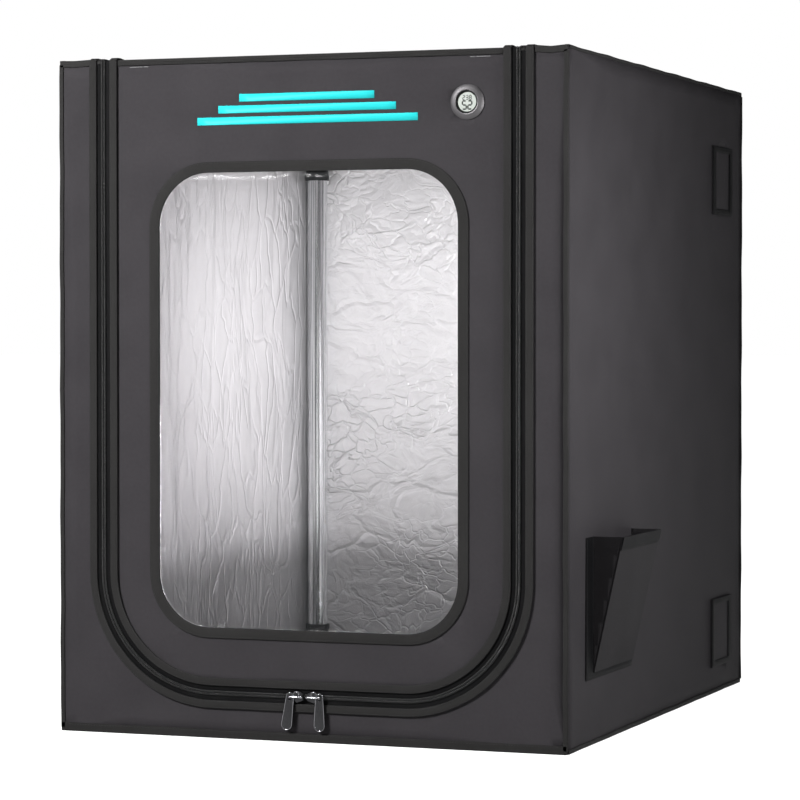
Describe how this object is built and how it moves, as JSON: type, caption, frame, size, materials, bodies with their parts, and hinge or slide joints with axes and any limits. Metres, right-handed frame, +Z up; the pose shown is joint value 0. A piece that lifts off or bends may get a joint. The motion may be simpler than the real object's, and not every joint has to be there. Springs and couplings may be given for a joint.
{
  "type": "printer enclosure tent",
  "caption": "Cloth tent on a tube frame that encloses a desktop 3D printer, with a zipped window door, a side pocket and cable ports.",
  "frame": {"origin": "middle of the underside of the tent's box, where it rests", "axes": "+Z up; -Y towards the front, where the door is; +X towards the right wall, which carries the pocket and the cable ports"},
  "size_m": [0.6041, 0.7193, 0.7218],
  "materials": {
    "cloth_black": "coated woven cloth, matt",
    "binding_black": "woven binding tape, matt",
    "web_black": "black webbing, matt",
    "zip_black": "woven zip tape and nylon coil",
    "foil": "aluminised film on cloth, crinkled and reflective",
    "steel": "polished plated steel",
    "connector_plastic": "black moulded plastic, satin",
    "window_film": "clear flexible film",
    "gunmetal": "dark plated zinc, glossy edges",
    "dial_metal": "spun, brushed in circles",
    "dial_black": "black plastic, satin",
    "print_cyan": "transfer film, satin",
    "screen": "pale reflective display"
  },
  "bodies": {
    "root": {"tube_upright_front_left": "steel", "tube_upright_front_right": "steel", "tube_upright_back_left": "steel", "tube_upright_back_right": "steel", "tube_width_front_bottom": "steel", "tube_width_front_top": "steel", "tube_width_back_bottom": "steel", "tube_width_back_top": "steel", "tube_depth_left_bottom": "steel", "tube_depth_left_top": "steel", "tube_depth_right_bottom": "steel", "tube_depth_right_top": "steel", "connector_front_left_bottom": "connector_plastic", "connector_front_left_top": "connector_plastic", "connector_front_right_bottom": "connector_plastic", "connector_front_right_top": "connector_plastic", "connector_back_left_bottom": "connector_plastic", "connector_back_left_top": "connector_plastic", "connector_back_right_bottom": "connector_plastic", "connector_back_right_top": "connector_plastic", "cover_front": "cloth_black", "cover_back": "cloth_black", "cover_left": "cloth_black", "cover_right": "cloth_black", "cover_roof": "cloth_black", "cover_floor": "foil", "zip_tape_frame": "zip_black", "zip_coil_frame": "zip_black", "zip_binding_frame": "binding_black", "zip_tail_left": "binding_black", "zip_tail_right": "binding_black", "pocket_flange": "web_black", "pocket_gusset_front": "cloth_black", "pocket_gusset_rear": "cloth_black"},
    "door": {"door_panel": "cloth_black", "window_border": "binding_black", "window_film": "window_film", "door_hem": "binding_black", "zip_tape_door": "zip_black", "zip_coil_door": "zip_black", "zip_binding_door": "binding_black", "dial_bezel": "dial_metal", "dial_barrel": "dial_black", "dial_screen": "screen", "dial_lens": "window_film", "dial_ring": "dial_black", "dial_battery_cap": "dial_black", "print_bar_low": "print_cyan", "print_bar_middle": "print_cyan", "print_bar_high": "print_cyan"},
    "slider_left": {"slider_left": "gunmetal"},
    "slider_right": {"slider_right": "gunmetal"},
    "pull_left": {"pull_left": "gunmetal"},
    "pull_right": {"pull_right": "gunmetal"},
    "port_upper": {"port_flap_upper": "cloth_black", "port_border_upper": "web_black"},
    "port_lower": {"port_flap_lower": "cloth_black", "port_border_lower": "web_black"},
    "pocket": {"pocket_front": "cloth_black", "pocket_hem": "web_black"}
  },
  "joints": [
    {"name": "door_hinge", "type": "hinge", "parent": "root", "child": "door", "pos_m": [0, -0.358, 0.72], "axis": [-1, 0, 0], "range_deg": [0, 265]},
    {"name": "slider_left_slide", "type": "slide", "parent": "door", "child": "slider_left", "axis": [-1, 0, 0], "range_m": [0, 0.09]},
    {"name": "slider_right_slide", "type": "slide", "parent": "door", "child": "slider_right", "axis": [1, 0, 0], "range_m": [0, 0.09]},
    {"name": "pull_left_swing", "type": "hinge", "parent": "slider_left", "child": "pull_left", "pos_m": [-0.0165, -0.361, 0.048], "axis": [0, 1, 0], "range_deg": [-17, 77]},
    {"name": "pull_right_swing", "type": "hinge", "parent": "slider_right", "child": "pull_right", "pos_m": [0.0165, -0.361, 0.048], "axis": [0, -1, 0], "range_deg": [-10, 85]},
    {"name": "port_upper_hinge", "type": "hinge", "parent": "root", "child": "port_upper", "pos_m": [0.2876, 0.257, 0.6498], "axis": [0, -1, 0], "range_deg": [0, 170]},
    {"name": "port_lower_hinge", "type": "hinge", "parent": "root", "child": "port_lower", "pos_m": [0.2876, 0.257, 0.1125], "axis": [0, -1, 0], "range_deg": [0, 170]},
    {"name": "pocket_hinge", "type": "hinge", "parent": "root", "child": "pocket", "pos_m": [0.2856, -0.1935, 0.075], "axis": [0, -1, 0], "range_deg": [0, 11.5], "deforming": ["pocket_gusset_front", "pocket_gusset_rear"]}
  ]
}
